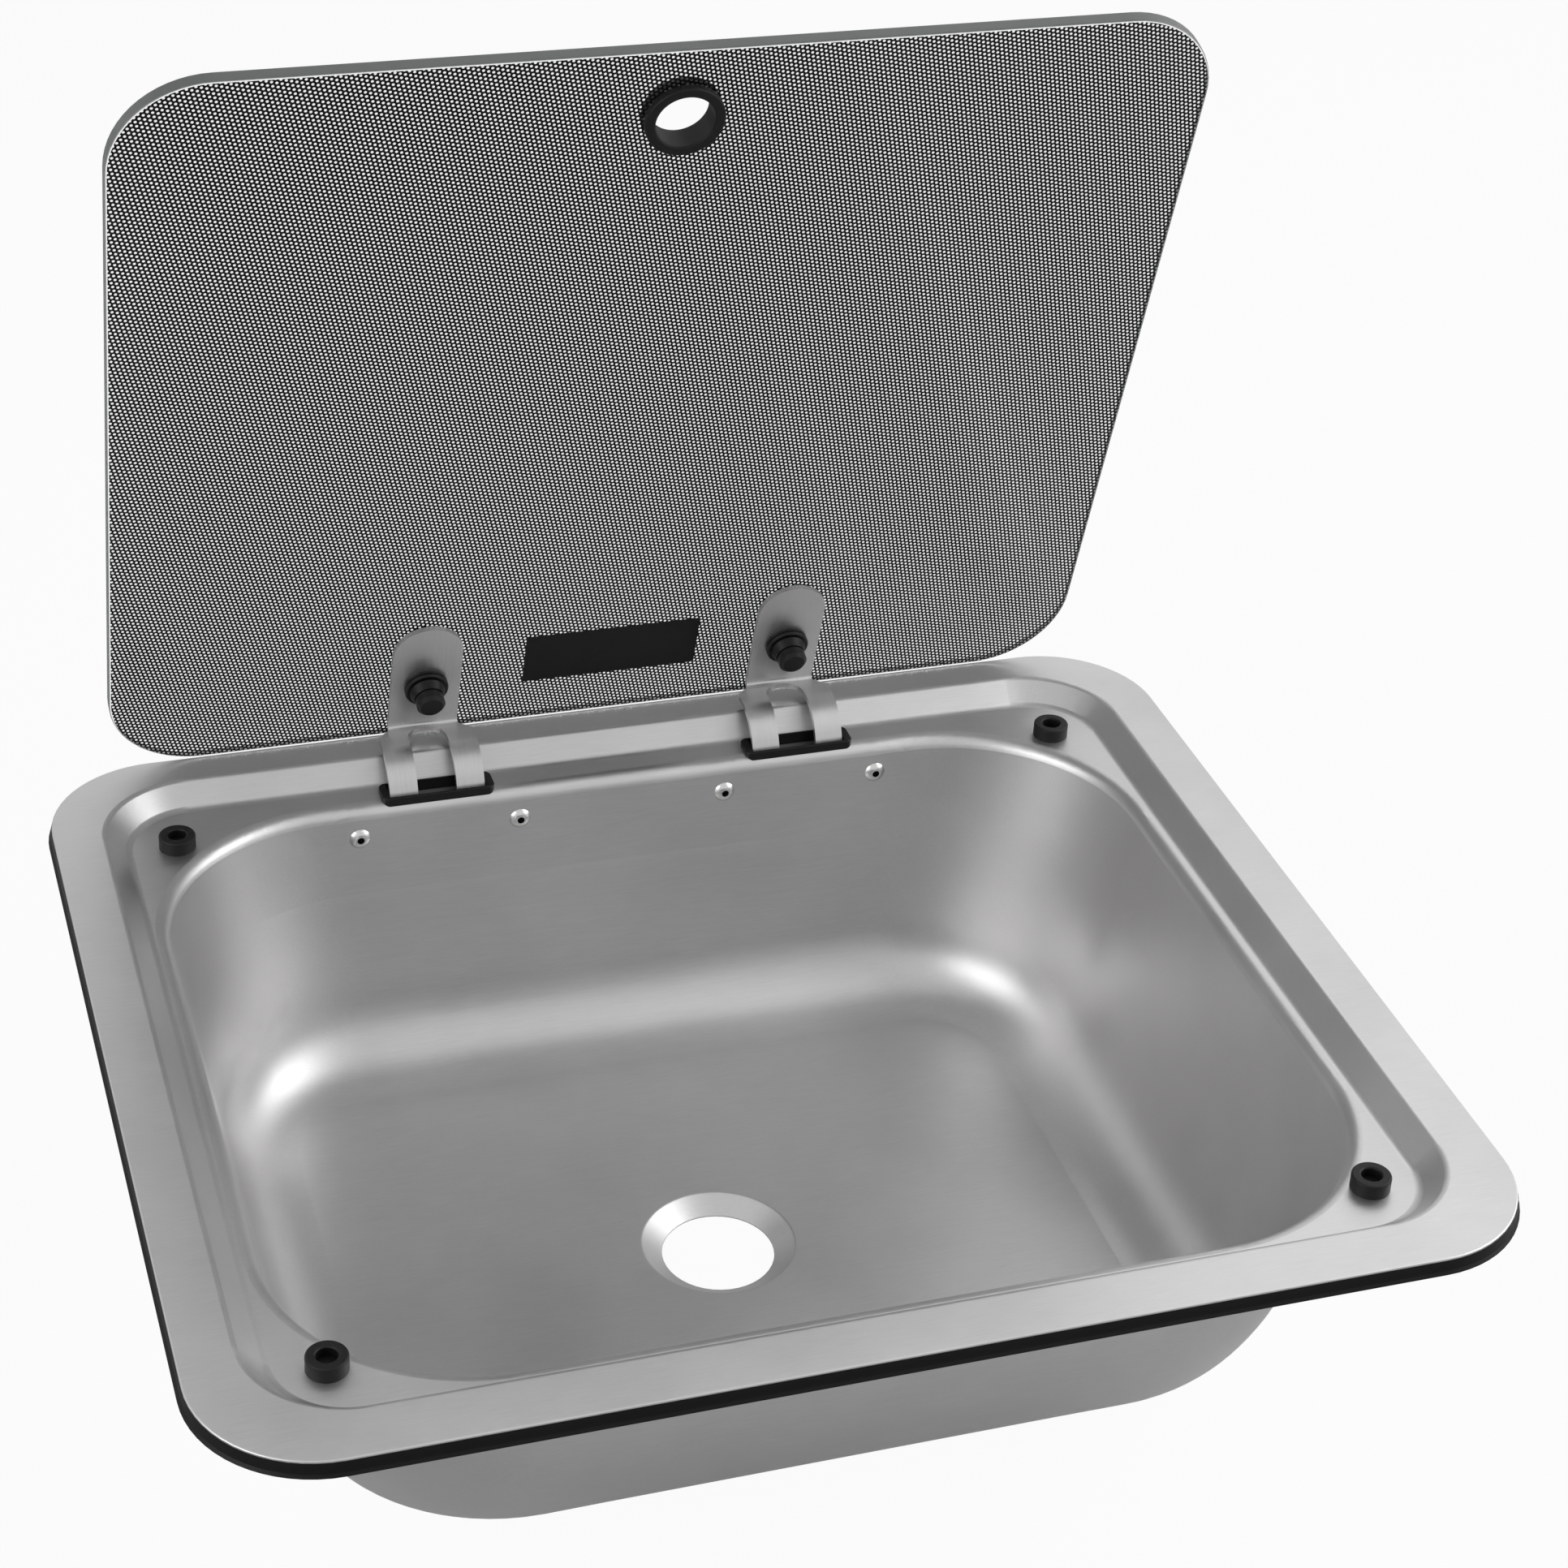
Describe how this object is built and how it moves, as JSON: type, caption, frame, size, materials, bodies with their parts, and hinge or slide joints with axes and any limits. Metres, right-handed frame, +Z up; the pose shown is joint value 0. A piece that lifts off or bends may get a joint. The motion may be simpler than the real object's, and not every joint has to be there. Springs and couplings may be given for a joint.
{
  "type": "rv sink with glass lid",
  "caption": "Drop-in pressed steel sink for a motorhome or caravan, with a recessed rim, drain hole, corner pads and a hinged printed glass lid that closes into the recess.",
  "frame": {"origin": "centre of the rim, on its top face", "axes": "+X to the right along the hinges, +Y to the rear where the lid hinges, +Z up out of the worktop"},
  "size_m": [0.4226, 0.3754, 0.4217],
  "materials": {
    "stainless": "brushed",
    "strap_steel": "brushed",
    "bracket_steel": "satin",
    "pin_steel": "polished",
    "spring_steel": "satin",
    "rivet_steel": "satin",
    "printed_glass": "gloss",
    "seal_rubber": "satin",
    "black_rubber": "matte",
    "black_plastic": "satin",
    "bezel_plastic": "satin"
  },
  "bodies": {
    "sink": {"sink_bowl": "stainless", "rim_seal": "seal_rubber", "pad_rear_left": "black_rubber", "pad_rear_right": "black_rubber", "pad_front_left": "black_rubber", "pad_front_right": "black_rubber", "slot_bezel_left": "bezel_plastic", "slot_bezel_right": "bezel_plastic", "hinge_bracket_left": "bracket_steel", "hinge_bracket_right": "bracket_steel", "hinge_pin_left": "pin_steel", "hinge_pin_right": "pin_steel", "pin_clip_left": "pin_steel", "pin_clip_right": "pin_steel", "rivets_left": "rivet_steel", "rivets_right": "rivet_steel"},
    "lid": {"glass_lid": "printed_glass", "finger_grommet": "black_rubber", "hinge_strap_left": "strap_steel", "hinge_strap_right": "strap_steel", "strap_gasket_left": "black_rubber", "strap_gasket_right": "black_rubber", "cap_nut_left": "black_plastic", "cap_nut_right": "black_plastic", "lid_screw_left": "black_plastic", "lid_screw_right": "black_plastic", "screw_washer_left": "black_rubber", "screw_washer_right": "black_rubber", "hinge_spring_left": "spring_steel", "hinge_spring_right": "spring_steel"}
  },
  "joints": [
    {"name": "lid_hinge", "type": "hinge", "parent": "sink", "child": "lid", "pos_m": [0, 0.176, -0.0155], "axis": [1, 0, 0], "range_deg": [0, 73], "stiffness_Nm_per_rad": 0.5, "springref_deg": -91.67, "deforming": ["hinge_spring_left", "hinge_spring_right"]}
  ]
}
